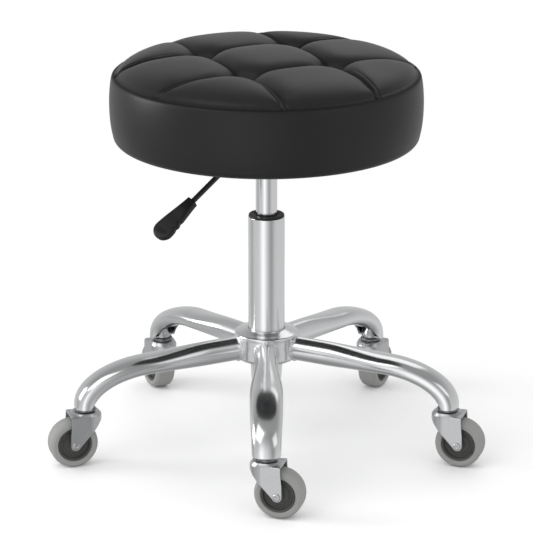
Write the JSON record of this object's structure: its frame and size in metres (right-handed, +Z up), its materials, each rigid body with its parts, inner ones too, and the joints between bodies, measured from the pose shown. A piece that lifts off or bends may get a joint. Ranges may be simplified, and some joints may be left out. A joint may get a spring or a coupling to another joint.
{
  "type": "adjustable swivel stool",
  "caption": "Low backless stool: round tufted faux-leather seat on a gas-spring column with a height lever, over a chromed star base on twin-sided fork casters.",
  "frame": {"origin": "on the floor, at the middle of the whole stool's footprint; the column's axis stands 12 mm behind it in +Y, because a five-armed base reaches further to the front arm's side", "axes": "+Z up from the floor; -Y along the front arm of the base; +X to the right of someone facing the front arm, and the longest side of the stool"},
  "size_m": [0.5728, 0.524, 0.533],
  "materials": {
    "leather": "black faux leather, soft satin sheen, fine grain",
    "foam": "moulded foam",
    "board": "plain plywood",
    "dust_fabric": "black non-woven fabric",
    "black_steel": "black satin powder coat",
    "chrome": "polished chrome plate",
    "zinc_steel": "satin zinc plate",
    "bush_plastic": "black moulded plastic",
    "grip_plastic": "dark grey moulded plastic, fine texture",
    "wheel_plastic": "dark grey moulded plastic",
    "tyre": "mid grey soft tread",
    "bumper_rubber": "black rubber"
  },
  "bodies": {
    "base": {"base_hub": "chrome", "column_tube": "chrome", "guide_bush": "bush_plastic", "thrust_bearing": "zinc_steel", "arm_1": "chrome", "arm_2": "chrome", "arm_3": "chrome", "arm_4": "chrome", "arm_5": "chrome", "caster_socket_1": "zinc_steel", "caster_socket_2": "zinc_steel", "caster_socket_3": "zinc_steel", "caster_socket_4": "zinc_steel", "caster_socket_5": "zinc_steel", "caster_stem_1": "black_steel", "caster_stem_2": "black_steel", "caster_stem_3": "black_steel", "caster_stem_4": "black_steel", "caster_stem_5": "black_steel"},
    "spindle": {"piston_rod": "chrome", "piston": "zinc_steel", "rod_clip": "zinc_steel", "bumper": "bumper_rubber"},
    "seat": {"seat_cover": "leather", "seat_foam": "foam", "seat_board": "board", "dust_cover": "dust_fabric", "mounting_plate": "black_steel", "plate_socket": "black_steel", "plate_screw_1": "zinc_steel", "plate_screw_2": "zinc_steel", "plate_screw_3": "zinc_steel", "plate_screw_4": "zinc_steel", "gas_cylinder": "chrome", "lever_bracket": "zinc_steel", "lever_pin": "zinc_steel"},
    "lever": {"lever_rod": "black_steel", "lever_grip": "grip_plastic"},
    "release_pin": {"release_pin": "zinc_steel"},
    "fork_1": {"caster_fork_1": "zinc_steel", "caster_axle_1": "zinc_steel"},
    "wheel_1": {"wheel_core_1": "wheel_plastic", "wheel_tyre_1": "tyre"},
    "fork_2": {"caster_fork_2": "zinc_steel", "caster_axle_2": "zinc_steel"},
    "wheel_2": {"wheel_core_2": "wheel_plastic", "wheel_tyre_2": "tyre"},
    "fork_3": {"caster_fork_3": "zinc_steel", "caster_axle_3": "zinc_steel"},
    "wheel_3": {"wheel_core_3": "wheel_plastic", "wheel_tyre_3": "tyre"},
    "fork_4": {"caster_fork_4": "zinc_steel", "caster_axle_4": "zinc_steel"},
    "wheel_4": {"wheel_core_4": "wheel_plastic", "wheel_tyre_4": "tyre"},
    "fork_5": {"caster_fork_5": "zinc_steel", "caster_axle_5": "zinc_steel"},
    "wheel_5": {"wheel_core_5": "wheel_plastic", "wheel_tyre_5": "tyre"}
  },
  "joints": [
    {"name": "seat_swivel", "type": "hinge", "parent": "base", "child": "spindle", "pos_m": [0, 0.012, 0.1], "axis": [0, 0, 1], "continuous": true},
    {"name": "seat_height", "type": "slide", "parent": "spindle", "child": "seat", "axis": [0, 0, 1], "range_m": [-0.055, 0.058]},
    {"name": "lever_tilt", "type": "hinge", "parent": "seat", "child": "lever", "pos_m": [-0.02165, -0.0005, 0.409], "axis": [-0.5, 0.866, 0], "range_deg": [0, 8], "stiffness_Nm_per_rad": 3, "springref_deg": -6.88},
    {"name": "release_pin_travel", "type": "slide", "parent": "seat", "child": "release_pin", "axis": [0, 0, 1], "range_m": [-0.0036, 0]},
    {"name": "caster_1_swivel", "type": "hinge", "parent": "base", "child": "fork_1", "pos_m": [0, -0.2365, 0.0725], "axis": [0, 0, 1], "continuous": true},
    {"name": "wheel_1_spin", "type": "hinge", "parent": "fork_1", "child": "wheel_1", "pos_m": [0.0171, -0.24108, 0.0315], "axis": [0.2588, 0.9659, 0], "continuous": true},
    {"name": "caster_2_swivel", "type": "hinge", "parent": "base", "child": "fork_2", "pos_m": [-0.23634, -0.06479, 0.0725], "axis": [0, 0, 1], "continuous": true},
    {"name": "wheel_2_spin", "type": "hinge", "parent": "fork_2", "child": "wheel_2", "pos_m": [-0.25317, -0.07026, 0.0315], "axis": [0.309, -0.9511, 0], "continuous": true},
    {"name": "caster_3_swivel", "type": "hinge", "parent": "base", "child": "fork_3", "pos_m": [-0.14607, 0.21304, 0.0725], "axis": [0, 0, 1], "continuous": true},
    {"name": "wheel_3_spin", "type": "hinge", "parent": "fork_3", "child": "wheel_3", "pos_m": [-0.15354, 0.22908, 0.0315], "axis": [-0.9063, -0.4226, 0], "continuous": true},
    {"name": "caster_4_swivel", "type": "hinge", "parent": "base", "child": "fork_4", "pos_m": [0.14607, 0.21304, 0.0725], "axis": [0, 0, 1], "continuous": true},
    {"name": "wheel_4_spin", "type": "hinge", "parent": "fork_4", "child": "wheel_4", "pos_m": [0.15382, 0.22895, 0.0315], "axis": [-0.8988, 0.4384, 0], "continuous": true},
    {"name": "caster_5_swivel", "type": "hinge", "parent": "base", "child": "fork_5", "pos_m": [0.23634, -0.06479, 0.0725], "axis": [0, 0, 1], "continuous": true},
    {"name": "wheel_5_spin", "type": "hinge", "parent": "fork_5", "child": "wheel_5", "pos_m": [0.25317, -0.07026, 0.0315], "axis": [0.309, 0.9511, 0], "continuous": true}
  ],
  "couplings": [
    {"joint": "release_pin_travel", "follows": "lever_tilt", "m_per_rad": -0.025}
  ]
}
